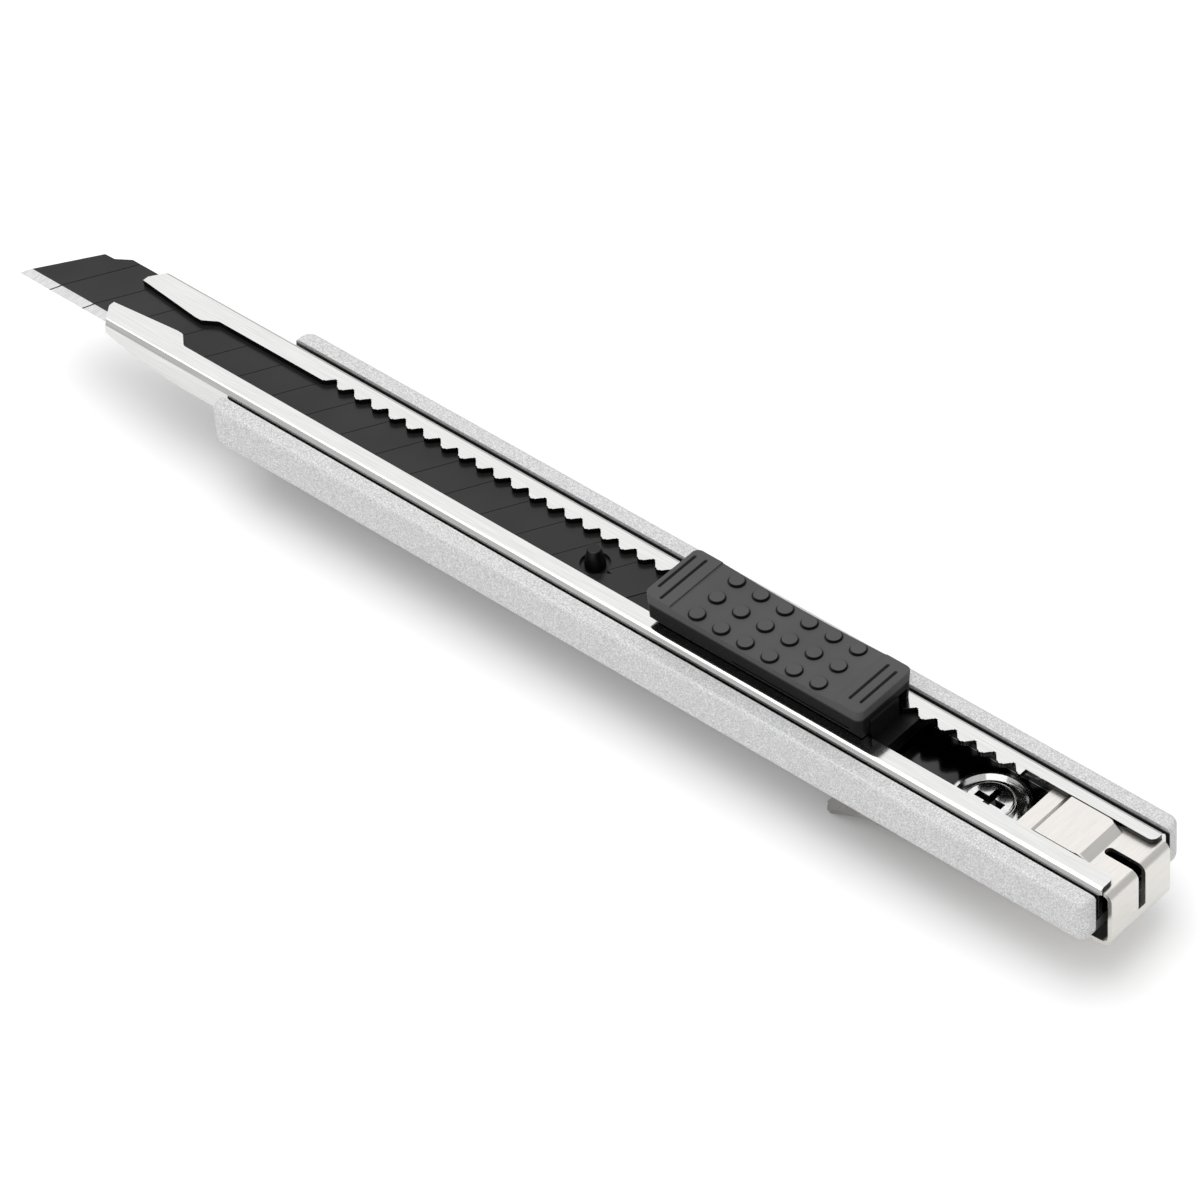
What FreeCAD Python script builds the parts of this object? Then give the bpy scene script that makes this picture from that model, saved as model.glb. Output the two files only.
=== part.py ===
import FreeCAD, Part
import Sketcher
import math
import os

# A snap-off utility knife with a 9 mm blade.  A toothed steel channel lies in a cast case.  A slider
# carries the blade along the channel, and a leaf with one tooth holds the slider in the notches.
# A spring steel clip closes the back of the channel and folds under the case as a pocket clip.
#
# Every piece is drawn in the knife's working frame: X = 0 at the first notch, +X towards the back,
# +Y away from the cutting edge, and Z = 0 on top of the channel's lips.  Each piece's Placement
# then moves it to the part's frame: the middle of the whole knife in X and Y, and its underside.

doc = FreeCAD.newDocument("utility_knife")
sheet = doc.addObject("Spreadsheet::Sheet", "dims")

DIMENSIONS = {
    # channel: a folded sheet with two lips over it
    "channel_half": 5.3,
    "channel_height": 3.65,
    "sheet_gauge": 0.6,
    "channel_rear": 109.2,
    "nose_front": -28.5,
    "near_lip_edge": -2.75,
    "tooth_tip_edge": 2.45,
    "notch_depth": 0.95,
    "notch_pitch": 2.5,
    "notch_count": 38,
    "notch_slope": 1.05,
    "channel_bend": 0.9,
    # case: a cast trough around the channel
    "case_front": -9.0,
    "case_rear": 109.3,
    "case_half": 7.8,
    "case_inner_half": 5.79,
    "case_top": -0.3,
    "case_bottom": -5.86,
    "case_corner": 1.3,
    "case_rim_round": 0.5,
    # screws and their stamped seats
    "rear_screw_place": 91.3,
    "front_screw_place": 12.0,
    "screw_head_radius": 2.7,
    "screw_head_height": 0.75,
    "screw_shank_radius": 1.25,
    "screw_length": 1.6,
    "seat_depth": 0.5,
    "seat_radius": 3.9,
    # blade
    "blade_half": 4.5,
    "blade_gauge": 0.38,
    "blade_top": -0.68,
    "blade_tip": -40.9,
    "blade_tail": 46.5,
    "bevel_width": 1.15,
    "segment_pitch": 5.0,
    "segment_count": 16,
    "score_width": 0.12,
    "score_depth": 0.04,
    "blade_hole_radius": 1.67,
    # stud and slider
    "stud_place": 39.35,
    "stud_offset": -0.25,
    "stud_base_radius": 1.15,
    "stud_top_radius": 0.74,
    "stud_top": 1.4,
    "carrier_front": 36.8,
    "carrier_rear": 80.0,
    "carrier_half": 4.3,
    "carrier_bottom": -2.45,
    "core_front": 51.2,
    "core_rear": 78.15,
    "core_near": -2.3,
    "core_far": 1.95,
    "core_top": 1.9,
    "grip_front": 49.6,
    "grip_rear": 78.3,
    "grip_near": -4.05,
    "grip_far": 4.3,
    "grip_bottom": 0.14,
    "grip_top": 4.15,
    "skirt_chamfer": 0.6,
    "skirt_straight": 1.05,
    "hollow_near": -2.45,
    "hollow_far": 3.45,
    "grip_step": 3.5,
    "grip_dip": 0.35,
    "dot_radius": 0.83,
    "dot_height": 0.28,
    "dot_pitch": 3.21,
    "dot_row": 3.08,
    # detent leaf, which swings about its pin
    "detent_pin_place": 75.5,
    "detent_pin_offset": 1.1,
    "detent_pin_radius": 0.5,
    "detent_eye_radius": 0.9,
    "detent_gauge": 0.35,
    "detent_front": 59.4,
    "detent_tooth_notch": 25,
    "running_gap": 0.1,
    # end clip
    "clip_half": 4.6,
    "clip_gauge": 0.5,
    "clip_tongue_front": 96.6,
    "clip_pad_front": 99.1,
    "clip_pad_rear": 105.2,
    "clip_rear": 110.3,
    "clip_under": -8.0,
    "clip_slot_half": 0.55,
    # place of the working frame in the part's frame, set from the finished shapes
    "frame_x": 0.0,
    "frame_z": 0.0,
}

for row, (alias, number) in enumerate(DIMENSIONS.items(), start=1):
    sheet.set(f"A{row}", alias)
    sheet.set(f"B{row}", str(number))
    sheet.setAlias(f"B{row}", alias)
doc.recompute()


class Size:
    """A length worked out from the sheet: its expression, and the number it has now."""

    def __init__(self, text, number):
        self.text = text
        self.number = number

    def __add__(self, other):
        other = as_size(other)
        return Size(f"({self.text} + {other.text})", self.number + other.number)

    def __sub__(self, other):
        other = as_size(other)
        return Size(f"({self.text} - {other.text})", self.number - other.number)

    def __mul__(self, factor):
        return Size(f"({self.text} * {factor})", self.number * factor)

    def __neg__(self):
        return self * -1


def as_size(thing):
    """A Size from a Size or from a plain number."""
    if isinstance(thing, Size):
        return thing
    return Size(f"({float(thing):.6f})", float(thing))


class Dims:
    """The sheet's cells by name, each as a Size."""

    def __getattr__(self, alias):
        return Size(f"dims.{alias}", float(DIMENSIONS[alias]))


d = Dims()
pieces = []
NORMALS = {"XY_Plane": 1, "XZ_Plane": -1, "YZ_Plane": 1}
OVERCUT = 0.5


def new_body(name):
    """One sub-part, placed in the part's frame."""
    body = doc.addObject("PartDesign::Body", name)
    body.Label = name
    body.setExpression("Placement.Base.x", "dims.frame_x")
    body.setExpression("Placement.Base.z", "dims.frame_z")
    pieces.append(body)
    return body


def new_sketch(body, name, role, level):
    """A sketch on one of the body's origin planes, moved along that plane's axis to a level."""
    planes = {feature.Role: feature for feature in body.Origin.OriginFeatures}
    sketch = body.newObject("Sketcher::SketchObject", name)
    sketch.AttachmentSupport = (planes[role], [""])
    sketch.MapMode = "FlatFace"
    sketch.setExpression("AttachmentOffset.Base.z", (as_size(level) * NORMALS[role]).text)
    return sketch


def drive(sketch, kind, references, size):
    """Add one driven length to a sketch."""
    size = as_size(size)
    index = sketch.addConstraint(Sketcher.Constraint(kind, *references, size.number))
    sketch.setExpression(f"Constraints[{index}]", size.text)


def pin_point(sketch, geometry, end, x, y):
    """Fix one point of a sketch by its driven distances from the sketch's origin."""
    drive(sketch, "DistanceX", (-1, 1, geometry, end), x)
    drive(sketch, "DistanceY", (-1, 1, geometry, end), y)


def add_side(sketch, start, finish, bow):
    """One side of an outline: straight, or an arc that stands out to the right by bow.

    Returns the arc's radius and which end of the edge is its start."""
    if not bow:
        sketch.addGeometry(Part.LineSegment(start, finish), False)
        return None, 1
    chord = finish - start
    half = chord.Length / 2
    radius = (half * half + bow * bow) / (2 * abs(bow))
    right = FreeCAD.Vector(chord.y, -chord.x, 0).normalize() * math.copysign(1, bow)
    centre = (start + finish) / 2 + right * (abs(bow) - radius)
    ends = [math.atan2(point.y - centre.y, point.x - centre.x) for point in (start, finish)]
    if bow < 0:
        ends.reverse()
    circle = Part.Circle(centre, FreeCAD.Vector(0, 0, 1), radius)
    sketch.addGeometry(Part.ArcOfCircle(circle, *ends), False)
    return radius, 1 if bow > 0 else 2


def outline(sketch, points):
    """A closed outline through driven points.  A third value bows the side that follows a point."""
    flat = [FreeCAD.Vector(as_size(p[0]).number, as_size(p[1]).number, 0) for p in points]
    bows = [p[2] if len(p) > 2 else 0 for p in points]
    count = len(flat)
    radii, first = zip(*(add_side(sketch, flat[n], flat[(n + 1) % count], bows[n])
                         for n in range(count)))
    for n in range(count):
        after = (n + 1) % count
        joint = Sketcher.Constraint("Coincident", n, 3 - first[n], after, first[after])
        sketch.addConstraint(joint)
    for n, point in enumerate(points):
        pin_point(sketch, n, first[n], point[0], point[1])
        if radii[n] and abs(abs(bows[n]) - (flat[n] - flat[(n + 1) % count]).Length / 2) > 1e-6:
            drive(sketch, "Radius", (n,), radii[n])


def circles(sketch, centres, radius):
    """Equal circles with driven centres and a driven radius."""
    for x, y in centres:
        middle = FreeCAD.Vector(as_size(x).number, as_size(y).number, 0)
        circle = Part.Circle(middle, FreeCAD.Vector(0, 0, 1), as_size(radius).number)
        n = sketch.addGeometry(circle, False)
        drive(sketch, "Radius", (n,), radius)
        pin_point(sketch, n, 3, x, y)


def extrude(body, name, role, low, high, kind="PartDesign::Pad"):
    """A Pad or a Pocket between two levels along a plane's axis, still without its sketch's lines."""
    adds = kind == "PartDesign::Pad"
    from_low = adds == (NORMALS[role] > 0)
    sketch = new_sketch(body, name + "_sketch", role, low if from_low else high)
    feature = body.newObject(kind, name)
    feature.Profile = sketch
    feature.setExpression("Length", (as_size(high) - as_size(low)).text)
    return sketch, feature


def finish(body, feature, adds):
    """Recompute a feature, and make sure that it changed the solid the right way."""
    base = feature.BaseFeature.Shape.Volume if feature.BaseFeature else 0.0
    doc.recompute()
    change = feature.Shape.Volume - base
    if (change > 0) != adds or abs(change) < 1e-6:
        raise RuntimeError(f"{body.Label}: {feature.Name} changed the volume by {change:.4f}")
    body.Tip = feature
    return feature


def block(body, name, role, low, high, points):
    sketch, feature = extrude(body, name, role, low, high)
    outline(sketch, points)
    return finish(body, feature, True)


def cut(body, name, role, low, high, points):
    sketch, feature = extrude(body, name, role, low, high, "PartDesign::Pocket")
    outline(sketch, points)
    return finish(body, feature, False)


def discs(body, name, role, low, high, centres, radius):
    sketch, feature = extrude(body, name, role, low, high)
    circles(sketch, centres, radius)
    return finish(body, feature, True)


def holes(body, name, role, low, high, centres, radius):
    sketch, feature = extrude(body, name, role, low, high, "PartDesign::Pocket")
    circles(sketch, centres, radius)
    return finish(body, feature, False)


def taper(feature, degrees):
    """Give a pad or a pocket sloping sides."""
    feature.TaperAngle = degrees
    doc.recompute()


def rectangle(x0, y0, x1, y1):
    return [(x0, y0), (x1, y0), (x1, y1), (x0, y1)]


def row_of(body, name, original, count, pitch):
    """Repeat a feature along X."""
    pattern = body.newObject("PartDesign::LinearPattern", name)
    pattern.Originals = [original]
    planes = {feature.Role: feature for feature in body.Origin.OriginFeatures}
    pattern.Direction = (planes["X_Axis"], [""])
    pattern.setExpression("Length", ((as_size(count) - 1).text + f" * {as_size(pitch).text}"))
    pattern.setExpression("Occurrences", as_size(count).text)
    doc.recompute()
    body.Tip = pattern
    return pattern


def soften(body, name, radius, wanted, kind="PartDesign::Fillet"):
    """Round or chamfer the edges of the body's tip whose box answers to a test."""
    base = body.Tip
    names = [f"Edge{n}" for n, edge in enumerate(base.Shape.Edges, start=1) if wanted(edge)]
    if not names:
        raise RuntimeError(f"{body.Label}: {name} finds no edge")
    feature = body.newObject(kind, name)
    feature.Base = (base, names)
    setattr(feature, "Radius" if kind.endswith("Fillet") else "Size", radius)
    doc.recompute()
    if "Invalid" in feature.State or feature.Shape.isNull() or not feature.Shape.isValid():
        raise RuntimeError(f"{body.Label}: {name} failed on {len(names)} edges")
    body.Tip = feature
    return feature


def near(a, b, slack=0.02):
    return abs(a - b) < slack


def along(edge, axis):
    """Whether an edge is straight and runs along one axis."""
    box = edge.BoundBox
    spans = {"X": box.XLength, "Y": box.YLength, "Z": box.ZLength}
    return spans.pop(axis) > 0.05 and max(spans.values()) < 0.01


def number(size):
    return as_size(size).number


# The channel ------------------------------------------------------------------------------------

CHANNEL_FLOOR = d.sheet_gauge - d.channel_height
LIP_UNDERSIDE = -d.sheet_gauge
CHANNEL_INNER = d.channel_half - d.sheet_gauge
NOTCH_TOP = d.tooth_tip_edge + d.notch_depth
FIRST_TIP = as_size(-1.95)

# the floor's rise towards the mouth: place along X, and height of the floor's underside
NOSE_RISE = [(-15.0, -3.65), (-17.6, -3.5), (-20.6, -3.2), (-23.6, -2.66), (-26.6, -1.86)]
MOUTH = (-27.1, -1.3)
MOUTH_SILL = -26.6
BLADE_CLEARANCE = 0.06
FLOOR_BEND = 0.35
# the slot between the lips: mouth, neck, and the place where it opens to its full width
MOUTH_SLOT_HALF = 2.25
MOUTH_SLOT_LENGTH = 0.2
NECK_HALF = 1.4
NECK_PLACE = -19.8
NECK_LENGTH = 0.9
SLOT_OPENS = -17.5
TEETH_REAR = 93.2
LIP_CORNER = 0.8
NOSE_FLAT_HALF = 3.0
NOSE_CORNER = 1.5
TIP_FLAT = 0.13
TOOTH_BOW = 0.06
CLEARANCE = 0.1
OUTSIDE = 1.0


def make_channel():
    body = new_body("channel_frame")
    front = d.nose_front
    outside_front = front - OUTSIDE
    outside_rear = d.channel_rear + OUTSIDE
    under = list(NOSE_RISE)
    skin = [(d.channel_rear, 0.0), (front, 0.0), (front, MOUTH[1])] + under[::-1]
    skin.append((d.channel_rear, -d.channel_height))
    block(body, "skin", "XZ_Plane", -d.channel_half, d.channel_half, skin)
    bent = number(d.channel_half)
    soften(body, "lip_bends", number(d.channel_bend), lambda edge: along(edge, "X")
           and near(edge.BoundBox.ZMax, 0.0))
    soften(body, "floor_bends", FLOOR_BEND, lambda edge: edge.BoundBox.XLength > 0.3
           and edge.BoundBox.YLength < 0.01 and near(abs(edge.BoundBox.YMax), bent)
           and edge.BoundBox.ZMax < -1.2)
    inside = [(x, Size(f"({z} + dims.sheet_gauge)", z + number(d.sheet_gauge))) for x, z in under]
    mouth_floor = d.blade_top - d.blade_gauge - BLADE_CLEARANCE
    below = MOUTH[1] - 1.7
    hollow = [(outside_rear, LIP_UNDERSIDE), (outside_front, LIP_UNDERSIDE), (outside_front, below),
              (MOUTH[0], below), (MOUTH[0], mouth_floor), (MOUTH_SILL, mouth_floor)] + inside[-2::-1]
    hollow.append((outside_rear, CHANNEL_FLOOR))
    cut(body, "hollow", "XZ_Plane", -CHANNEL_INNER, CHANNEL_INNER, hollow)
    neck = NECK_HALF
    neck_end = NECK_PLACE + NECK_LENGTH
    mouth = MOUTH_SLOT_HALF
    slot = [(outside_front, -mouth - 0.05), (front + MOUTH_SLOT_LENGTH, -mouth), (NECK_PLACE, -neck),
            (neck_end, -neck), (SLOT_OPENS, d.near_lip_edge), (outside_rear, d.near_lip_edge),
            (outside_rear, NOTCH_TOP), (TEETH_REAR, NOTCH_TOP), (TEETH_REAR, d.tooth_tip_edge),
            (SLOT_OPENS + 0.3, d.tooth_tip_edge), (neck_end, neck), (NECK_PLACE, neck),
            (front + MOUTH_SLOT_LENGTH, mouth), (outside_front, mouth + 0.05)]
    cut(body, "slot", "XY_Plane", LIP_UNDERSIDE - CLEARANCE, OUTSIDE, slot)
    flat = NOSE_FLAT_HALF
    for side in (-1, 1):
        beyond = [(outside_front, side * flat), (front, side * flat),
                  (front + NOSE_CORNER, side * (bent - 0.15)),
                  (front + NOSE_CORNER + 0.2, side * (bent + OUTSIDE)),
                  (outside_front, side * (bent + OUTSIDE))]
        cut(body, "nose_corner_" + ("near" if side < 0 else "far"), "XY_Plane", -4.0, OUTSIDE, beyond)
    lip_rear = number(d.channel_rear)
    soften(body, "lip_corners", LIP_CORNER, lambda edge: along(edge, "Z")
           and edge.BoundBox.ZMax > -0.1 and (near(edge.BoundBox.XMin, lip_rear)
                                              or near(edge.BoundBox.XMin, NECK_PLACE, 1.5)
                                              or near(edge.BoundBox.XMin, SLOT_OPENS, 0.4)))
    cut_notches(body)
    seats = [(d.rear_screw_place, 0.0), (d.front_screw_place, 0.0)]
    seat_floor = CHANNEL_FLOOR - d.seat_depth
    discs(body, "seats", "XY_Plane", seat_floor - d.sheet_gauge, CHANNEL_FLOOR - CLEARANCE, seats,
          d.seat_radius + CLEARANCE)
    taper(holes(body, "seat_hollows", "XY_Plane", seat_floor, CHANNEL_FLOOR, seats, d.seat_radius), -40)
    holes(body, "screw_holes", "XY_Plane", -5.0, CHANNEL_FLOOR, seats,
          d.screw_shank_radius + CLEARANCE)
    return body


def cut_notches(body):
    """Cut the row of notches in the far lip: each has sloping flanks and eased corners."""
    tip = d.tooth_tip_edge
    reach = d.notch_slope
    last = FIRST_TIP + d.notch_pitch
    eased = NOTCH_TOP - TIP_FLAT * 1.6
    notch = [(FIRST_TIP + TIP_FLAT, tip - OVERCUT), (FIRST_TIP + TIP_FLAT, tip, -TOOTH_BOW),
             (FIRST_TIP + TIP_FLAT * 3, tip + TIP_FLAT),
             (FIRST_TIP + reach - TIP_FLAT, eased, TOOTH_BOW),
             (FIRST_TIP + reach, NOTCH_TOP), (last - reach, NOTCH_TOP, TOOTH_BOW),
             (last - reach + TIP_FLAT, eased),
             (last - TIP_FLAT * 3, tip + TIP_FLAT, -TOOTH_BOW), (last - TIP_FLAT, tip),
             (last - TIP_FLAT, tip - OVERCUT)]
    first = cut(body, "notch", "XY_Plane", LIP_UNDERSIDE - CLEARANCE, OUTSIDE, notch)
    row_of(body, "notches", first, d.notch_count, d.notch_pitch)


def make_case():
    body = new_body("outer_case")
    floor = -d.channel_height
    section = [(-d.case_half, d.case_bottom), (d.case_half, d.case_bottom),
               (d.case_half, d.case_top), (d.case_inner_half, d.case_top),
               (d.case_inner_half, floor), (-d.case_inner_half, floor),
               (-d.case_inner_half, d.case_top), (-d.case_half, d.case_top)]
    block(body, "trough", "YZ_Plane", d.case_front, d.case_rear, section)
    half = number(d.case_half)
    bottom = number(d.case_bottom)
    top = number(d.case_top)
    soften(body, "end_corners", number(d.case_corner), lambda edge: along(edge, "Z")
           and near(abs(edge.BoundBox.YMax), half))
    soften(body, "keel_round", number(d.case_corner),
           lambda edge: near(edge.BoundBox.ZMin, bottom) and near(edge.BoundBox.ZMax, bottom))
    soften(body, "rim_round", number(d.case_rim_round),
           lambda edge: near(edge.BoundBox.ZMin, top) and near(edge.BoundBox.ZMax, top)
           and edge.BoundBox.YLength < 15 and not near(abs(edge.BoundBox.YMax),
                                                       number(d.case_inner_half), 0.01))
    seats = [(d.rear_screw_place, 0.0), (d.front_screw_place, 0.0)]
    depth = d.seat_depth + 0.1
    holes(body, "seat_recesses", "XY_Plane", floor - depth, floor, seats, d.seat_radius + 0.25)
    holes(body, "screw_threads", "XY_Plane", d.case_bottom + 0.4, floor, seats, d.screw_shank_radius)
    return body


SCREW_CROWN = 0.35
RECESS_FLOOR = 0.12
RECESS_ARM = 1.7
RECESS_HALF = 0.4


def make_screw(name, place):
    """A pan-head screw with a cross recess, standing in its seat."""
    body = new_body(name)
    seat = CHANNEL_FLOOR - d.seat_depth
    centre = [(place, 0.0)]
    discs(body, "shank", "XY_Plane", seat - d.screw_length, seat, centre, d.screw_shank_radius)
    discs(body, "head", "XY_Plane", seat, seat + d.screw_head_height, centre, d.screw_head_radius)
    top = number(seat + d.screw_head_height)
    soften(body, "crown", SCREW_CROWN, lambda edge: near(edge.BoundBox.ZMin, top)
           and near(edge.BoundBox.ZMax, top))
    low = seat + RECESS_FLOOR
    high = seat + d.screw_head_height + OUTSIDE
    arm = RECESS_ARM
    thin = RECESS_HALF
    cut(body, "recess_long", "XY_Plane", low, high,
        rectangle(place - arm, -thin, place + arm, thin))
    cut(body, "recess_cross", "XY_Plane", low, high,
        rectangle(place - thin, -arm, place + thin, arm))
    return body


# The blade --------------------------------------------------------------------------------------

SLANT = 1 / math.tan(math.radians(60))
BLADE_UNDERSIDE = d.blade_top - d.blade_gauge
# the tip segment's clipped upper corner: place behind the point, and depth below the spine
TIP_CORNER = [(8.5, 0.0), (6.8, 1.12), (5.4, 1.17)]
# the hook cut beside the hole, as seen from the stud
HOOK = [(0.6, 0.1), (2.45, -0.15), (1.0, -1.25)]
FIRST_SCORE = 4.5

def make_blade():
    body = new_body("blade")
    half = d.blade_half
    point = d.blade_tip
    back = d.blade_tail
    plan = [(point, -half), (back - half * SLANT, -half), (back + half * SLANT, half)]
    plan += [(point + behind, half - depth) for behind, depth in TIP_CORNER]
    block(body, "strip", "XY_Plane", BLADE_UNDERSIDE, d.blade_top, plan)
    middle = d.blade_top - d.blade_gauge * 0.5
    ground = -half + d.bevel_width
    for name, surface, lean in (("upper", d.blade_top, 1), ("lower", BLADE_UNDERSIDE, -1)):
        wedge = [(ground, surface), (ground, surface + 0.2 * lean), (-half - 1, surface + 0.2 * lean),
                 (-half - 0.001, middle + 0.02 * lean)]
        cut(body, "bevel_" + name, "YZ_Plane", point - 1, back + 5, wedge)
    hole = [(d.stud_place, d.stud_offset)]
    holes(body, "hole", "XY_Plane", BLADE_UNDERSIDE - 1, d.blade_top + 1, hole, d.blade_hole_radius)
    cut(body, "hook", "XY_Plane", BLADE_UNDERSIDE - 1, d.blade_top + 1,
        [(d.stud_place + x, d.stud_offset + y) for x, y in HOOK])
    start = point + FIRST_SCORE
    width = d.score_width
    line = [(start, -half - 0.1), (start + width, -half - 0.1),
            (start + width + half * 2 * SLANT, half + 0.1), (start + half * 2 * SLANT, half + 0.1)]
    score = cut(body, "score", "XY_Plane", d.blade_top - d.score_depth, d.blade_top + 0.1, line)
    row_of(body, "scores", score, d.segment_count, d.segment_pitch)
    return body


# The slider -------------------------------------------------------------------------------------

POCKET_SIDE = 0.05
POCKET_TOP = 0.12
RIVETS = [(55.0, -0.6), (72.0, -1.15)]
PEGS = [(58.0, -1.2), (66.0, -1.2)]
PEG_RADIUS = 0.6
RIVET_RADIUS = 0.7
RIVET_HEAD_RADIUS = 1.0
RIVET_HEAD_DEPTH = 0.45
PIN_HOLD = 0.5
STUD_SHANK_RADIUS = 0.7
TONGUE_GAUGE = 0.54
STEP_DEPTH = 0.3
TAIL_GAP = 0.15
CARRIER_CORNER = 1.2
LEAF_ROOM_FRONT = 0.6
LEAF_ROOM_REAR = 1.4


def detent_pin_centre():
    return [(d.detent_pin_place, d.detent_pin_offset)]


def make_carrier():
    """The steel carriage under the blade: a thin tongue in front and a block behind the blade."""
    body = new_body("blade_carrier")
    shelf = d.blade_tail + TAIL_GAP
    lean = d.carrier_half * SLANT
    block(body, "tongue", "XY_Plane", BLADE_UNDERSIDE - TONGUE_GAUGE, BLADE_UNDERSIDE,
          rectangle(d.carrier_front, -d.carrier_half, d.carrier_rear, d.carrier_half))
    block(body, "keel", "XY_Plane", d.carrier_bottom, BLADE_UNDERSIDE - STEP_DEPTH,
          rectangle(d.blade_tail, -d.carrier_half, d.carrier_rear, d.carrier_half))
    block(body, "stop", "XY_Plane", BLADE_UNDERSIDE - STEP_DEPTH, d.blade_top,
          [(shelf - lean, -d.carrier_half), (d.carrier_rear, -d.carrier_half),
           (d.carrier_rear, d.carrier_half), (shelf + lean, d.carrier_half)])
    front = number(d.carrier_front)
    soften(body, "corners", CARRIER_CORNER, lambda edge: along(edge, "Z")
           and near(abs(edge.BoundBox.YMax), number(d.carrier_half))
           and near(edge.BoundBox.XMin, front))
    holes(body, "rivet_holes", "XY_Plane", d.carrier_bottom - 1, d.blade_top, RIVETS, RIVET_RADIUS)
    holes(body, "rivet_seats", "XY_Plane", d.carrier_bottom - 1,
          d.carrier_bottom + RIVET_HEAD_DEPTH, RIVETS, RIVET_HEAD_RADIUS)
    holes(body, "pin_hole", "XY_Plane", d.blade_top - PIN_HOLD, d.blade_top, detent_pin_centre(),
          d.detent_pin_radius)
    holes(body, "stud_hole", "XY_Plane", d.carrier_bottom - 1, BLADE_UNDERSIDE,
          [(d.stud_place, d.stud_offset)], STUD_SHANK_RADIUS)
    return body


def make_stud():
    """The blade's stud: a cone above the blade on a shank that is riveted in the carrier."""
    body = new_body("blade_stud")
    middle = [(d.stud_place, d.stud_offset)]
    discs(body, "shank", "XY_Plane", BLADE_UNDERSIDE - TONGUE_GAUGE, BLADE_UNDERSIDE, middle,
          STUD_SHANK_RADIUS)
    discs(body, "collar", "XY_Plane", BLADE_UNDERSIDE, d.blade_top, middle, d.stud_base_radius)
    cone = discs(body, "cone", "XY_Plane", d.blade_top, d.stud_top, middle, d.stud_base_radius)
    fall = number(d.stud_base_radius) - number(d.stud_top_radius)
    taper(cone, -math.degrees(math.atan(fall / (number(d.stud_top) - number(d.blade_top)))))
    top = number(d.stud_top)
    soften(body, "rim", 0.12, lambda edge: near(edge.BoundBox.ZMin, top)
           and near(edge.BoundBox.ZMax, top))
    return body


def make_slider_base():
    """The slider's core: a bar through the slot that carries the grip, with a room for the leaf."""
    body = new_body("slider_base")
    front = d.core_front
    rear = d.core_rear
    block(body, "bar", "XY_Plane", POCKET_TOP, d.core_top,
          rectangle(front, d.core_near, rear, d.core_far))
    top = number(d.core_top)
    soften(body, "bar_rim", 0.25, lambda edge: along(edge, "Y") and near(edge.BoundBox.ZMin, top)
           and near(edge.BoundBox.XMin, number(rear)))
    pocket_front = d.detent_front - LEAF_ROOM_FRONT
    pocket_rear = d.detent_pin_place + LEAF_ROOM_REAR
    block(body, "core", "XY_Plane", d.blade_top, POCKET_TOP,
          [(front, d.core_near), (rear, d.core_near), (rear, d.core_far), (pocket_rear, d.core_far),
           (pocket_rear, POCKET_SIDE), (pocket_front, POCKET_SIDE), (pocket_front, d.core_far),
           (front, d.core_far)])
    holes(body, "rivet_holes", "XY_Plane", d.blade_top, d.core_top, RIVETS, RIVET_RADIUS)
    holes(body, "rivet_seats", "XY_Plane", d.core_top - RIVET_HEAD_DEPTH, d.core_top + 1, RIVETS,
          RIVET_HEAD_RADIUS)
    holes(body, "peg_holes", "XY_Plane", d.blade_top + 0.2, d.core_top + 1, PEGS, PEG_RADIUS)
    holes(body, "pin_hole", "XY_Plane", POCKET_TOP, POCKET_TOP + PIN_HOLD, detent_pin_centre(),
          d.detent_pin_radius)
    return body


def make_slider_rivets():
    """Two rivets that hold the core on the carrier, with a flat head at both ends."""
    body = new_body("slider_rivets")
    low = d.carrier_bottom
    high = d.core_top
    discs(body, "shanks", "XY_Plane", low, high, RIVETS, RIVET_RADIUS)
    discs(body, "lower_heads", "XY_Plane", low, low + RIVET_HEAD_DEPTH, RIVETS, RIVET_HEAD_RADIUS)
    discs(body, "upper_heads", "XY_Plane", high - RIVET_HEAD_DEPTH, high, RIVETS,
          RIVET_HEAD_RADIUS)
    return body


GRIP_FLOOR_DIP = 0.2
GRIP_LEAN = 0.45
GRIP_CORNER = 0.8
LEDGE_RIM = 0.15
SIDE_GROOVE = [(17.0, 0.15), (1.6, 0.35)]
SIDE_GROOVE_DEPTH = 0.12
DOT_COLUMNS = 6
GROOVE_HALF = 0.19
GROOVE_DEPTH = 0.45
# grooves in the two ledges: place along X, near end, far end
GROOVES = [(d.grip_front + 0.75, -2.4, 3.1), (d.grip_front + 2.05, -3.6, 3.3),
           (d.grip_rear - 2.4, -2.8, 3.1), (d.grip_rear - 1.15, -2.6, 2.8)]


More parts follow.
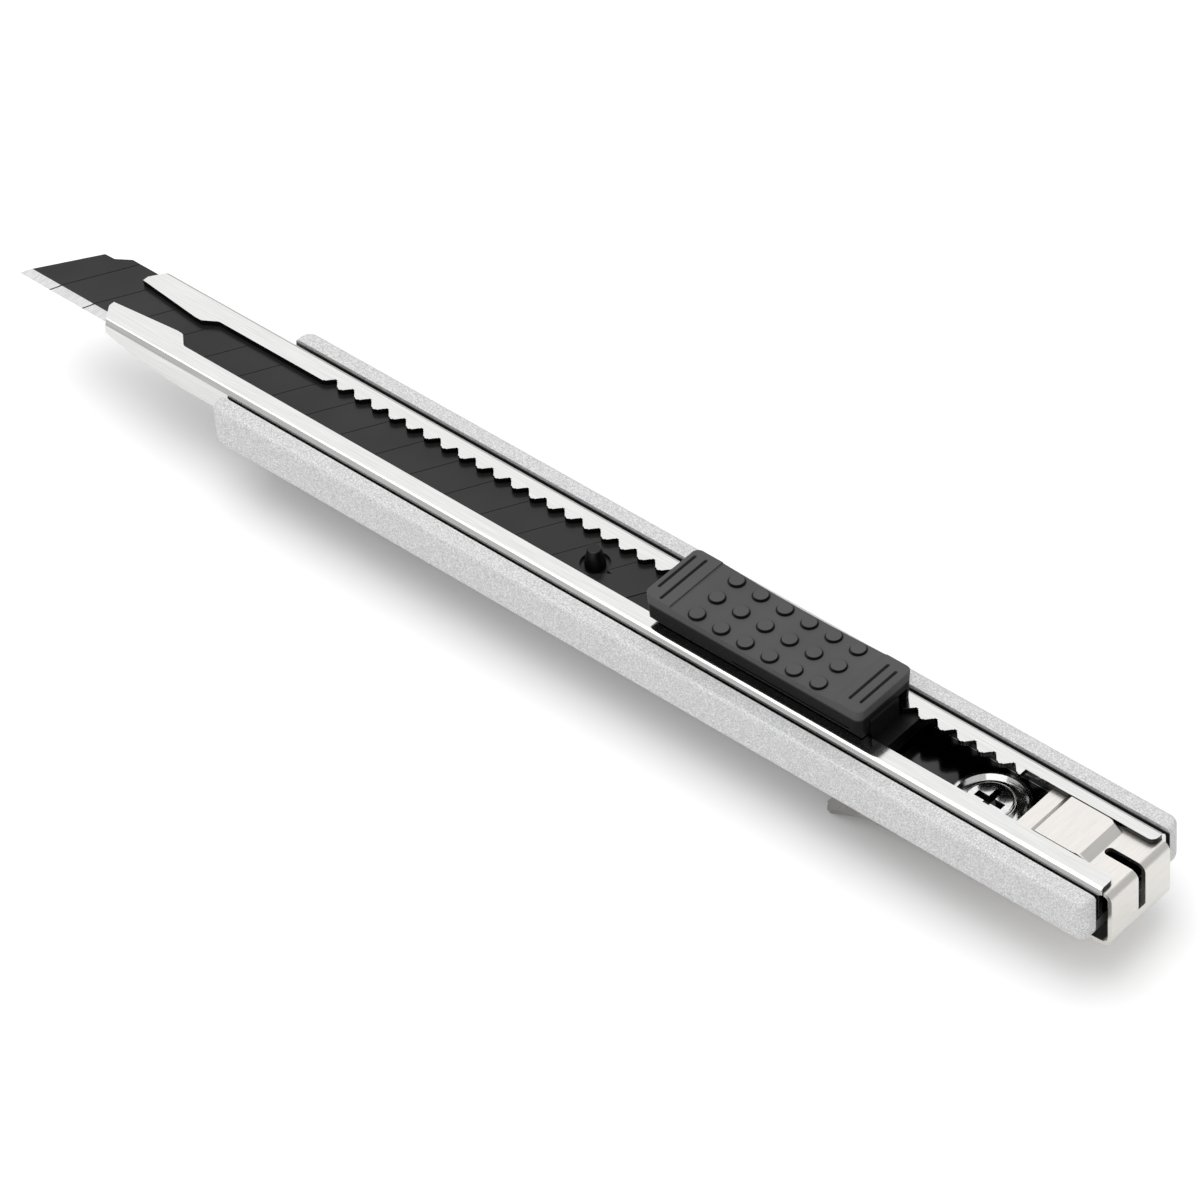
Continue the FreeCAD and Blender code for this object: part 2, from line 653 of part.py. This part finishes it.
def make_grip():
    """The thumb grip: a cap over the core, with grooved ledges and a dip with dots between them."""
    body = new_body("thumb_grip")
    front = d.grip_front
    rear = d.grip_rear
    low = d.grip_bottom
    top = d.grip_top
    step = d.grip_step
    dip = GRIP_FLOOR_DIP
    side = [(front + 1.1, low), (rear - GRIP_LEAN, low), (rear - 0.1, top), (rear - step, top),
            (rear - step, top - dip, -number(d.grip_dip)), (front + step, top - dip),
            (front + step, top), (front, top), (front + 0.2, low + 0.9)]
    block(body, "cap", "XZ_Plane", d.grip_near, d.grip_far, side)
    beyond = d.grip_near - 1
    cut(body, "skirt_chamfer", "YZ_Plane", front - 1, rear + 1,
        [(d.grip_near, d.skirt_straight), (d.grip_near + d.skirt_chamfer, low),
         (d.grip_near + d.skirt_chamfer, low - 1), (beyond, low - 1), (beyond, d.skirt_straight)])
    middle = (number(front) + number(rear)) / 2
    soften(body, "corners", GRIP_CORNER, lambda edge: edge.BoundBox.ZLength > 2
           and edge.BoundBox.YLength < 0.01)
    ridge = number(top)
    soften(body, "ledge_rims", LEDGE_RIM, lambda edge: near(edge.BoundBox.ZMin, ridge)
           and near(edge.BoundBox.ZMax, ridge)
           and not (along(edge, "Y") and abs(edge.BoundBox.XMin - middle) < 12))
    cut(body, "hollow", "YZ_Plane", d.core_front - 0.1, rear + 1,
        [(d.hollow_near, low - 1), (d.hollow_far, low - 1), (d.hollow_far, d.core_top),
         (d.hollow_near, d.core_top)])
    (groove_front, groove_low), (groove_rear, groove_high) = SIDE_GROOVE
    cut(body, "side_groove", "XZ_Plane", d.grip_near - 1, d.grip_near + SIDE_GROOVE_DEPTH,
        rectangle(rear - groove_front, d.skirt_straight + groove_low, rear - groove_rear,
                  d.skirt_straight + groove_high))
    discs(body, "pegs", "XY_Plane", d.blade_top + 0.3, d.core_top + 0.5, PEGS, PEG_RADIUS)
    span = number(rear) - number(front) - 2 * number(step)
    radius = ((span / 2) ** 2 + number(d.grip_dip) ** 2) / (2 * number(d.grip_dip))
    across = (d.grip_near + d.grip_far) * 0.5
    for column in range(DOT_COLUMNS):
        place = column - (DOT_COLUMNS - 1) / 2
        offset = place * number(d.dot_pitch)
        sunk = dip + number(d.grip_dip) - (radius - math.sqrt(radius ** 2 - offset ** 2))
        x = (front + rear) * 0.5 + d.dot_pitch * place
        rows = [(x, across + d.dot_row * n) for n in (-1, 0, 1)]
        discs(body, f"dots_{column}", "XY_Plane", top - 1.5, top - sunk + d.dot_height, rows,
              d.dot_radius)
    for n, (x, y0, y1) in enumerate(GROOVES):
        cut(body, f"groove_{n}", "XY_Plane", top - GROOVE_DEPTH, top + 1,
            [(x - GROOVE_HALF, y0, GROOVE_HALF), (x + GROOVE_HALF, y0),
             (x + GROOVE_HALF, y1, GROOVE_HALF), (x - GROOVE_HALF, y1)])
    return body


DETENT_FLANK = 0.65
DETENT_SHORT = 0.2


def make_detent():
    """A leaf that swings about the pin, with one tooth in a notch of the far lip."""
    body = new_body("detent_spring")
    low = LIP_UNDERSIDE - 0.02
    high = as_size(0.0)
    outer = d.tooth_tip_edge - 0.35
    inner = outer - d.detent_gauge
    pin = d.detent_pin_place
    tip = FIRST_TIP + d.notch_pitch * DIMENSIONS["detent_tooth_notch"]
    inset = d.running_gap + TIP_FLAT * 3
    base = (tip + inset, tip + d.notch_pitch - inset)
    reach = DETENT_FLANK
    crest = NOTCH_TOP - DETENT_SHORT
    block(body, "leaf", "XY_Plane", low, high,
          [(d.detent_front, inner), (pin - 0.3, inner), (pin, inner + 0.05), (pin, outer - 0.1),
           (pin - 0.3, outer), (base[1], outer), (base[1], d.tooth_tip_edge + 0.05),
           (base[1] - reach, crest), (base[0] + reach, crest),
           (base[0], d.tooth_tip_edge + 0.05), (base[0], outer), (d.detent_front, outer)])
    discs(body, "eye", "XY_Plane", low, high, detent_pin_centre(), d.detent_eye_radius)
    holes(body, "eye_hole", "XY_Plane", low - 1, high + 1, detent_pin_centre(),
          d.detent_pin_radius + 0.05)
    return body


def make_detent_pin():
    body = new_body("detent_pin")
    discs(body, "pin", "XY_Plane", d.blade_top - PIN_HOLD, POCKET_TOP + PIN_HOLD,
          detent_pin_centre(), d.detent_pin_radius)
    return body


# The end clip -----------------------------------------------------------------------------------

def thicken(path, gauge):
    """The outline of a sheet whose outer face follows a path; the sheet lies to the path's right."""
    flat = [(as_size(x).number, as_size(z).number) for x, z in path]
    normals = []
    for (x0, z0), (x1, z1) in zip(flat, flat[1:]):
        length = math.hypot(x1 - x0, z1 - z0)
        normals.append(((z1 - z0) / length, -(x1 - x0) / length))
    inner = []
    for n, (x, z) in enumerate(path):
        a = normals[max(n - 1, 0)]
        b = normals[min(n, len(normals) - 1)]
        share = 1 / (1 + a[0] * b[0] + a[1] * b[1])
        inner.append((as_size(x) + gauge * ((a[0] + b[0]) * share),
                      as_size(z) + gauge * ((a[1] + b[1]) * share)))
    return list(path) + inner[::-1]


CLIP_HEEL = 78.8
CLIP_TOE = 73.0
HEEL_DROP = 1.7
TOE_DROP = 4.5
TOE_CORNER = 1.2
PAD_CREST = -0.04
PAD_GAP = 0.12
PAD_FRONT_SLOPE = 0.9
PAD_REAR_SLOPE = 1.3
PAD_CORNER = 0.45
SLOT_MIDDLE = 0.15
SLOT_FOOT = 2.2


def make_end_clip():
    body = new_body("end_clip")
    top = LIP_UNDERSIDE - 0.06
    path = [(d.clip_tongue_front, top), (d.clip_rear, top), (d.clip_rear, d.clip_under),
            (CLIP_HEEL, d.clip_under - HEEL_DROP), (CLIP_TOE, d.clip_under - TOE_DROP)]
    block(body, "strip", "XZ_Plane", -d.clip_half, d.clip_half, thicken(path, d.clip_gauge))
    rear = number(d.clip_rear)
    gauge = number(d.clip_gauge)
    tall = number(top)
    deep = number(d.clip_under)
    bends = ((rear, tall, 1.0), (rear, deep, 1.5), (rear - gauge, tall - gauge, 0.5),
             (rear - gauge, deep + gauge, 1.0))
    for n, (x, z, radius) in enumerate(bends):
        soften(body, f"bend_{n}", radius, lambda edge: along(edge, "Y")
               and near(edge.BoundBox.XMin, x, 0.2) and near(edge.BoundBox.ZMin, z, 0.2))
    soften(body, "heel", 2.0, lambda edge: along(edge, "Y")
           and near(edge.BoundBox.XMin, CLIP_HEEL, 0.3) and edge.BoundBox.ZMin < deep - 0.5)
    wide = d.clip_half
    for side in (-1, 1):
        cut(body, "toe_" + ("near" if side < 0 else "far"), "XY_Plane", deep - TOE_DROP - 1, deep,
            [(CLIP_TOE - 1, (wide + 1) * side), (CLIP_TOE - 1, (wide - TOE_CORNER) * side),
             (CLIP_TOE, (wide - TOE_CORNER) * side),
             (CLIP_TOE + TOE_CORNER * 0.3, (wide - TOE_CORNER * 0.4) * side),
             (CLIP_TOE + TOE_CORNER, wide * side), (CLIP_TOE + TOE_CORNER, (wide + 1) * side)])
    pad_near = d.near_lip_edge + PAD_GAP
    pad_far = NOTCH_TOP - PAD_GAP
    crest = as_size(PAD_CREST)
    front = d.clip_pad_front
    back = d.clip_pad_rear
    block(body, "pad", "XZ_Plane", pad_near, pad_far,
          [(front - PAD_FRONT_SLOPE, top - CLEARANCE), (front, crest), (back - 0.6, crest),
           (back - 0.6 + PAD_REAR_SLOPE, top - CLEARANCE)])
    soften(body, "pad_rear_corners", PAD_CORNER, lambda edge: edge.BoundBox.YLength < 0.01
           and edge.BoundBox.ZLength > 0.4 and near(edge.BoundBox.XMax, number(back) + 0.5, 0.4))
    inset = d.clip_gauge
    low = top - d.clip_gauge
    cut(body, "pad_hollow", "XZ_Plane", pad_near + inset, pad_far - inset,
        [(front - 0.3, low - 0.1), (front + 0.3, crest - inset), (back - 0.8, crest - inset),
         (back - 0.1, low - 0.1)])
    half = d.clip_slot_half
    slot_front = d.clip_pad_rear + 0.6
    cut(body, "slot_top", "XY_Plane", d.clip_under + SLOT_FOOT, OUTSIDE,
        [(d.clip_rear + 1, half + SLOT_MIDDLE), (slot_front + half, half + SLOT_MIDDLE, half.number),
         (slot_front + half, -half + SLOT_MIDDLE), (d.clip_rear + 1, -half + SLOT_MIDDLE)])
    return body


make_case()
make_channel()
make_screw("rear_screw", d.rear_screw_place)
make_screw("front_screw", d.front_screw_place)
make_blade()
make_carrier()
make_stud()
make_slider_base()
make_slider_rivets()
make_grip()
make_detent()
make_detent_pin()
make_end_clip()

# The part's frame: the middle of the whole knife in X and Y, and its lowest point.
boxes = [piece.Shape.optimalBoundingBox() for piece in pieces]
front_end = min(box.XMin for box in boxes)
rear_end = max(box.XMax for box in boxes)
underside = min(box.ZMin for box in boxes)
for alias, number_now in (("frame_x", -(front_end + rear_end) / 2), ("frame_z", -underside)):
    sheet.set(sheet.getCellFromAlias(alias), f"{number_now:.6f}")
doc.recompute()

for item in doc.Objects:
    if {"Invalid", "Error"} & set(item.State):
        raise RuntimeError(f"{item.Name} did not compute: {item.State}")
os.makedirs("parts", exist_ok=True)
print("working frame sits at", sheet.get("frame_x"), sheet.get("frame_z"))
for piece in pieces:
    if piece.Shape.isNull() or not piece.Shape.isValid():
        raise RuntimeError(f"{piece.Label} has no valid shape")
    piece.Shape.exportStep(f"parts/{piece.Label}.step")
    box = piece.Shape.optimalBoundingBox()
    print(f"{piece.Label}: {len(piece.Shape.Solids)} solid, X {box.XMin:.2f} to {box.XMax:.2f}, "
          f"Y {box.YMin:.2f} to {box.YMax:.2f}, Z {box.ZMin:.2f} to {box.ZMax:.2f}")
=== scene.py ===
import math

import bpy
from mathutils import Matrix, Vector


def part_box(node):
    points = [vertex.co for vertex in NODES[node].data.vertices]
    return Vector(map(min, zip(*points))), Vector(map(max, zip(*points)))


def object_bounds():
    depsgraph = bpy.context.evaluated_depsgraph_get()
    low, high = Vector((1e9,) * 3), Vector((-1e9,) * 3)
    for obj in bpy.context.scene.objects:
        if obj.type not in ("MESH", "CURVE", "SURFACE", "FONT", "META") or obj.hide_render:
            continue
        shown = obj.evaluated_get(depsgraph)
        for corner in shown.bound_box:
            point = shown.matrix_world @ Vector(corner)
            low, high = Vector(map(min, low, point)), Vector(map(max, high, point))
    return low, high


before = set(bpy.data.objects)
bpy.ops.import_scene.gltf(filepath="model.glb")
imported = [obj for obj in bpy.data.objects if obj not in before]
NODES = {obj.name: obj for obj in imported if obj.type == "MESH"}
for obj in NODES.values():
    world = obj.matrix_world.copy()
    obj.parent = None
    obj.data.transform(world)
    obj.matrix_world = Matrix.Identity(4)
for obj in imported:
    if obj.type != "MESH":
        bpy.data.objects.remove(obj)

MM = 0.001
CAD_LOW, CAD_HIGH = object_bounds()
CENTRE = (CAD_LOW + CAD_HIGH) / 2
FLOOR_GAP = 0.2 * MM


# Materials --------------------------------------------------------------------------------------

class Shader:
    """A material's node tree, with short calls for the nodes that it needs."""

    def __init__(self, name):
        self.material = bpy.data.materials.new(name)
        self.material.use_nodes = True
        self.tree = self.material.node_tree
        self.surface = self.tree.nodes["Principled BSDF"]
        self.place = self.add("ShaderNodeTexCoord").outputs["Object"]

    def add(self, kind, **settings):
        node = self.tree.nodes.new(kind)
        for key, value in settings.items():
            setattr(node, key, value)
        return node

    def link(self, source, target):
        self.tree.links.new(source, target)

    def set(self, **values):
        for key, value in values.items():
            self.surface.inputs[key.replace("_", " ")].default_value = value

    def stretched(self, scale):
        """The place in space, stretched so that a texture runs along one direction."""
        mapping = self.add("ShaderNodeMapping")
        mapping.inputs["Scale"].default_value = scale
        self.link(self.place, mapping.inputs["Vector"])
        return mapping.outputs["Vector"]

    def noise(self, scale, detail=2.0, stretch=(1, 1, 1), roughness=0.5):
        node = self.add("ShaderNodeTexNoise")
        node.inputs["Scale"].default_value = scale
        node.inputs["Detail"].default_value = detail
        node.inputs["Roughness"].default_value = roughness
        self.link(self.stretched(stretch), node.inputs["Vector"])
        return node.outputs["Fac"]

    def ramp(self, source, stops):
        """A colour ramp through (place, grey or colour) stops."""
        node = self.add("ShaderNodeValToRGB")
        ramp = node.color_ramp
        while len(ramp.elements) < len(stops):
            ramp.elements.new(0.5)
        for element, (place, colour) in zip(ramp.elements, stops):
            element.position = place
            if isinstance(colour, (int, float)):
                colour = (colour, colour, colour)
            element.color = (*colour, 1.0)
        self.link(source, node.inputs["Fac"])
        return node.outputs["Color"]

    def math(self, operation, a, b=None, clamp=False):
        """A math node on two values, each a number or an output."""
        node = self.add("ShaderNodeMath", operation=operation, use_clamp=clamp)
        for socket, value in zip(node.inputs, (a, b)):
            if isinstance(value, (int, float)):
                socket.default_value = value
            elif value is not None:
                self.link(value, socket)
        return node.outputs["Value"]

    def axis(self, letter):
        """One coordinate of the place in space, in metres."""
        node = self.add("ShaderNodeSeparateXYZ")
        self.link(self.place, node.inputs["Vector"])
        return node.outputs[letter]

    def distance(self, x, y):
        """How far the place is from an upright line, seen from above."""
        along = self.math("POWER", self.math("SUBTRACT", self.axis("X"), x), 2.0)
        across = self.math("POWER", self.math("SUBTRACT", self.axis("Y"), y), 2.0)
        return self.math("SQRT", self.math("ADD", across, along))

    def step(self, value, edge, width):
        """0 below an edge and 1 above it, with a soft change over a width."""
        node = self.add("ShaderNodeMapRange", interpolation_type="SMOOTHSTEP")
        node.inputs["From Min"].default_value = edge - width / 2
        node.inputs["From Max"].default_value = edge + width / 2
        self.link(value, node.inputs["Value"])
        return node.outputs["Result"]

    def mix(self, factor, a, b):
        """Colour a where the factor is 0 and colour b where it is 1."""
        node = self.add("ShaderNodeMix", data_type="RGBA")
        self.link(factor, node.inputs[0])
        for socket, value in ((node.inputs[6], a), (node.inputs[7], b)):
            if isinstance(value, tuple):
                socket.default_value = (*value, 1.0)
            else:
                self.link(value, socket)
        return node.outputs[2]

    def bump(self, height, strength, distance):
        """Relief from a height, scaled to a distance in metres."""
        node = self.add("ShaderNodeBump")
        node.inputs["Strength"].default_value = strength
        node.inputs["Distance"].default_value = distance
        self.link(height, node.inputs["Height"])
        self.link(node.outputs["Normal"], self.surface.inputs["Normal"])

    def colour(self, source):
        self.link(source, self.surface.inputs["Base Color"])

    def rough(self, source):
        self.link(source, self.surface.inputs["Roughness"])

    def metal(self, source):
        self.link(source, self.surface.inputs["Metallic"])


def middle_of(box):
    low, high = box
    return (low + high) / 2


CASE_INNER_HALF = 5.84 * MM
CASE_RIM_DEPTH = 0.45 * MM


def cast_silver():
    """Silver paint over a sand-cast surface, and painted shade on the case's inner walls deep
    beside the channel.
    """
    s = Shader("case_silver")
    s.set(Metallic=0.2, Roughness=0.55, Specular_IOR_Level=0.35)
    grain = s.noise(6500, detail=2.0, roughness=0.75)
    flecks = s.noise(7000, detail=1.0)
    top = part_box("outer_case")[1].z
    paint = s.ramp(grain, [(0.3, (0.34, 0.34, 0.344)), (0.5, (0.52, 0.52, 0.524)),
                           (0.68, (0.72, 0.72, 0.72))])
    off_middle = s.math("ABSOLUTE", s.axis("Y"))
    # painted shade: near black on the case's inner walls below the rim, in the gap beside the
    # channel
    inside = s.step(s.math("SUBTRACT", CASE_INNER_HALF, off_middle), 0.0, 0.04 * MM)
    deep = s.step(s.math("SUBTRACT", top, s.axis("Z")), CASE_RIM_DEPTH, 0.3 * MM)
    s.colour(s.mix(s.math("MULTIPLY", inside, deep), paint, (0.02, 0.02, 0.02)))
    s.rough(s.ramp(flecks, [(0.35, 0.62), (0.65, 0.42)]))
    s.bump(grain, 0.5, 0.00008)
    return s.material


def satin_steel(name, tone, rough, along=(0.03, 1, 1), lines=6000, shade_below=None):
    """Rolled sheet with brush lines along one direction, with painted shade below a level if one is
    given.
    """
    s = Shader(name)
    s.set(Metallic=1.0)
    brush = s.noise(lines, detail=3.0, stretch=along)
    cloud = s.noise(60, detail=2.0)
    low = tuple(channel * 0.93 for channel in tone)
    skin = s.ramp(brush, [(0.3, low), (0.7, tone)])
    if shade_below:
        # painted shade: below the level the colour darkens to 0.45 of the tone
        shade_tone = tuple(channel * 0.45 for channel in tone)
        skin = s.mix(s.step(s.axis("Z"), shade_below, 2 * MM), shade_tone, skin)
    s.colour(skin)
    varied = s.math("ADD", s.math("MULTIPLY", brush, 0.1), s.math("MULTIPLY", cloud, 0.05))
    s.rough(s.math("ADD", varied, rough))
    s.bump(brush, 0.1, 0.00002)
    return s.material


CHANNEL_INNER_HALF = 4.68 * MM
SEAT_RADIUS = 4.2 * MM
SEAT_LEVEL = 2.8 * MM


def channel_steel():
    """Polished sheet: bright lips with fine lines, painted shade inside the channel below the lips'
    tops, and the screw's dish left bright, out of that shade.
    """
    s = Shader("channel_steel")
    s.set(Metallic=1.0)
    depth = s.math("SUBTRACT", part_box("channel_frame")[1].z, s.axis("Z"))
    brush = s.noise(6000, detail=3.0, stretch=(0.03, 1, 1))
    cloud = s.noise(70, detail=2.0)
    bright = s.ramp(brush, [(0.3, (0.6, 0.6, 0.595)), (0.7, (0.7, 0.7, 0.69))])
    # painted shade: near black for the channel's inside and the lips' cut edges, below the lips'
    # tops and between them, except in the screw's dish
    inner = s.ramp(cloud, [(0.3, (0.02, 0.02, 0.02)), (0.7, (0.05, 0.05, 0.05))])
    below = s.step(depth, 0.05 * MM, 0.06 * MM)
    off_middle = s.math("ABSOLUTE", s.axis("Y"))
    between = s.step(s.math("SUBTRACT", CHANNEL_INNER_HALF, off_middle), 0.0, 0.04 * MM)
    seat = middle_of(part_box("rear_screw"))
    around = s.step(s.math("SUBTRACT", SEAT_RADIUS, s.distance(seat.x, 0.0)), 0.0, 0.3 * MM)
    dish = s.math("MULTIPLY", around, s.step(depth, SEAT_LEVEL, 0.2 * MM))
    dark = s.math("SUBTRACT", s.math("MULTIPLY", below, between), dish, clamp=True)
    s.colour(s.mix(dark, bright, inner))
    varied = s.math("ADD", s.math("MULTIPLY", brush, 0.06), s.math("MULTIPLY", cloud, 0.05))
    s.rough(s.math("ADD", varied, 0.06))
    s.bump(brush, 0.06, 0.00002)
    return s.material


RECESS_RADIUS = 1.8 * MM
RECESS_LEVEL = 0.2 * MM


def chrome_screw(node):
    """Bright chrome on a pan head, with painted shade in the cross recess."""
    s = Shader("chrome_" + node)
    s.set(Metallic=1.0)
    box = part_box(node)
    middle = middle_of(box)
    top = box[1].z
    swirl = s.noise(2500, detail=3.0)
    bright = s.ramp(swirl, [(0.3, (0.6, 0.6, 0.6)), (0.7, (0.72, 0.72, 0.72))])
    away = s.distance(middle.x, middle.y)
    # painted shade: near black inside the cross recess, within its radius and below its rim
    inner = s.step(s.math("SUBTRACT", RECESS_RADIUS, away), 0.0, 0.1 * MM)
    deep = s.step(s.math("SUBTRACT", top, s.axis("Z")), RECESS_LEVEL, 0.1 * MM)
    s.colour(s.mix(s.math("MULTIPLY", inner, deep), bright, (0.03, 0.03, 0.03)))
    s.rough(s.math("ADD", s.math("MULTIPLY", swirl, 0.08), 0.08))
    s.bump(swirl, 0.05, 0.00001)
    return s.material


# the score lines lean 60 degrees from the edge, one every 5 mm, the first 4.5 mm behind the point
SLANT = 1 / math.tan(math.radians(60))
PITCH = 5 * MM
FIRST_SCORE = 4.5 * MM
BLADE_HALF = 4.6 * MM
BEVEL_WIDTH = 1.15 * MM
NICK_WIDTH = 0.2 * MM


def black_blade():
    """Black oxide on the flats, and bare ground steel on the bevel, nicked at every score line."""
    s = Shader("blade_black")
    s.set(Specular_IOR_Level=0.3)
    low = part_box("blade")[0]
    brush = s.noise(5000, detail=2.0, stretch=(0.05, 1, 1))
    cloud = s.noise(90, detail=2.0)
    black = s.ramp(cloud, [(0.3, (0.018, 0.017, 0.018)), (0.7, (0.026, 0.025, 0.026))])
    ground = s.ramp(s.noise(4000, detail=1.0, stretch=(1, 0.1, 1)), [(0.3, 0.5), (0.7, 0.58)])
    slant = s.math("SUBTRACT", s.axis("X"), s.math("MULTIPLY", s.axis("Y"), SLANT))
    first = low.x + FIRST_SCORE + BLADE_HALF * SLANT
    along = s.math("MODULO", s.math("SUBTRACT", slant, first - 10 * PITCH), PITCH)
    nicked = s.mix(s.step(along, NICK_WIDTH, 0.04 * MM), (0.04, 0.04, 0.04), ground)
    flat = s.step(s.axis("Y"), low.y + BEVEL_WIDTH, 0.05 * MM)
    s.colour(s.mix(flat, nicked, black))
    s.metal(s.math("SUBTRACT", 1.0, s.math("MULTIPLY", flat, 0.5)))
    s.rough(s.math("ADD", s.math("MULTIPLY", brush, 0.08), 0.2))
    s.bump(brush, 0.06, 0.00002)
    return s.material


# axis, pitch and number of the grip's rows of dots
DOT_ROWS = [("X", 3.21 * MM, 6), ("Y", 3.08 * MM, 3)]
DOT_RIM = (0.8 * MM, 0.97 * MM)
DOT_FIELD_HALF = 9.7 * MM


def dot_shadow_rims(s):
    """1 in the narrow shadow around each of the grip's dots, and 0 elsewhere."""
    middle = middle_of(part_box("thumb_grip"))
    squares = []
    for letter, pitch, count in DOT_ROWS:
        start = getattr(middle, letter.lower()) - pitch * count / 2
        cell = s.math("MODULO", s.math("SUBTRACT", s.axis(letter), start), pitch)
        squares.append(s.math("POWER", s.math("SUBTRACT", cell, pitch / 2), 2.0))
    away = s.math("SQRT", s.math("ADD", *squares))
    inner, outer = DOT_RIM
    outside = s.step(away, outer, 0.1 * MM)
    ring = s.math("SUBTRACT", s.step(away, inner, 0.08 * MM), outside, clamp=True)
    from_middle = s.math("ABSOLUTE", s.math("SUBTRACT", s.axis("X"), middle.x))
    field = s.step(s.math("SUBTRACT", DOT_FIELD_HALF, from_middle), 0.0, 0.1 * MM)
    return s.math("MULTIPLY", ring, field)


CAP_TOP_DEPTH = 1.3 * MM


def moulded_plastic(name, tone, rough, cap=None):
    """Moulded black plastic with a fine spark-eroded grain.  A cap has dots, with painted shadow
    rings around them, and painted shade on its sides.
    """
    s = Shader(name)
    s.set(Metallic=0.0, Specular_IOR_Level=0.1)
    grain = s.noise(3500, detail=3.0)
    cloud = s.noise(120, detail=2.0)
    skin = s.ramp(cloud, [(0.3, tuple(c * 0.85 for c in tone)), (0.7, tone)])
    if cap:
        # painted shade: the cap darkens below its top, and painted shadow rings circle its dots
        dark = tuple(c * 0.08 for c in tone)
        level = s.step(s.axis("Z"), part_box(cap)[1].z - CAP_TOP_DEPTH, 0.4 * MM)
        skin = s.mix(level, dark, s.mix(dot_shadow_rims(s), skin, dark))
    s.colour(skin)
    s.rough(s.math("ADD", s.math("MULTIPLY", grain, 0.15), rough))
    s.bump(grain, 0.25, 0.00003)
    return s.material


def dress(node, material):
    """Give a CAD node a material in every slot."""
    mesh = NODES[node].data
    mesh.materials.clear()
    mesh.materials.append(material)


# the end clip gets painted shade below this level
CLIP_SHADE_LEVEL = 3.6 * MM
CLIP = satin_steel("clip_steel", (0.68, 0.66, 0.63), 0.22, along=(1, 0.05, 1),
                   shade_below=CLIP_SHADE_LEVEL)
DARK = satin_steel("dark_steel", (0.03, 0.03, 0.03), 0.3)
SPRING = satin_steel("spring_steel", (0.6, 0.6, 0.58), 0.2)
GRIP = moulded_plastic("grip_black", (0.075, 0.074, 0.075), 0.42, cap="thumb_grip")
PLASTIC = moulded_plastic("base_black", (0.006, 0.006, 0.006), 0.3)

dress("outer_case", cast_silver())
dress("channel_frame", channel_steel())
dress("rear_screw", chrome_screw("rear_screw"))
dress("front_screw", chrome_screw("front_screw"))
dress("blade", black_blade())
dress("blade_carrier", DARK)
dress("blade_stud", DARK)
dress("slider_base", PLASTIC)
dress("slider_rivets", DARK)
dress("thumb_grip", GRIP)
dress("detent_spring", SPRING)
dress("detent_pin", SPRING)
dress("end_clip", CLIP)


# Stage, light and camera ------------------------------------------------------------------------

def make_floor():
    bpy.ops.mesh.primitive_plane_add(size=6.0, location=(0, 0, CAD_LOW.z - FLOOR_GAP))
    floor = bpy.context.object
    floor.name = "floor"
    s = Shader("floor_white")
    s.set(Roughness=0.7)
    s.colour(s.ramp(s.noise(3.0), [(0.3, 0.93), (0.7, 0.95)]))
    floor.data.materials.append(s.material)


def direction(azimuth, elevation):
    """The unit vector from the knife towards a place, azimuth 0 being in front of it."""
    a = math.radians(azimuth)
    e = math.radians(elevation)
    return Vector((math.sin(a) * math.cos(e), -math.cos(a) * math.cos(e), math.sin(e)))


def make_light(name, azimuth, elevation, distance, size, watts):
    """A square white area light that looks at the knife from a direction."""
    away = direction(azimuth, elevation)
    data = bpy.data.lights.new(name, "AREA")
    data.size = size
    data.energy = watts
    light = bpy.data.objects.new(name, data)
    light.location = CENTRE + away * distance
    light.rotation_mode = "QUATERNION"
    light.rotation_quaternion = away.to_track_quat("Z", "Y")
    bpy.context.scene.collection.objects.link(light)


WORLD_STRENGTH = 0.7


def make_world():
    world = bpy.data.worlds.new("studio")
    world.use_nodes = True
    background = world.node_tree.nodes["Background"]
    background.inputs["Color"].default_value = (1, 1, 1, 1)
    background.inputs["Strength"].default_value = WORLD_STRENGTH
    bpy.context.scene.world = world


CAMERA_AZIMUTH = 44.64
CAMERA_ELEVATION = 43.61
CAMERA_ROLL = -4.47
CAMERA_DISTANCE = 0.66311
CAMERA_AIM = Vector((4.456, 0.218, -2.274)) * MM
CAMERA_LENS = 191.92
SENSOR_WIDTH = 36.0


def make_camera():
    """The view along the knife from the near side of its back end, a little rolled."""
    back = direction(CAMERA_AZIMUTH, CAMERA_ELEVATION)
    data = bpy.data.cameras.new("camera")
    data.lens = CAMERA_LENS
    data.sensor_width = SENSOR_WIDTH
    data.clip_start = 0.05
    data.clip_end = 20.0
    camera = bpy.data.objects.new("camera", data)
    camera.location = CENTRE + CAMERA_AIM + back * CAMERA_DISTANCE
    camera.rotation_mode = "QUATERNION"
    level = back.to_track_quat("Z", "Y")
    roll = Matrix.Rotation(math.radians(CAMERA_ROLL), 3, "Z").to_quaternion()
    camera.rotation_quaternion = level @ roll
    bpy.context.scene.collection.objects.link(camera)
    bpy.context.scene.camera = camera


make_floor()
make_world()
make_light("key", -60, 80, 1.2, 1.1, 8)
make_light("back", 225, 44, 1.2, 1.1, 2.2)
make_light("fill", 20, 32, 1.3, 1.2, 4)
make_camera()
bpy.context.scene.view_settings.view_transform = "Standard"
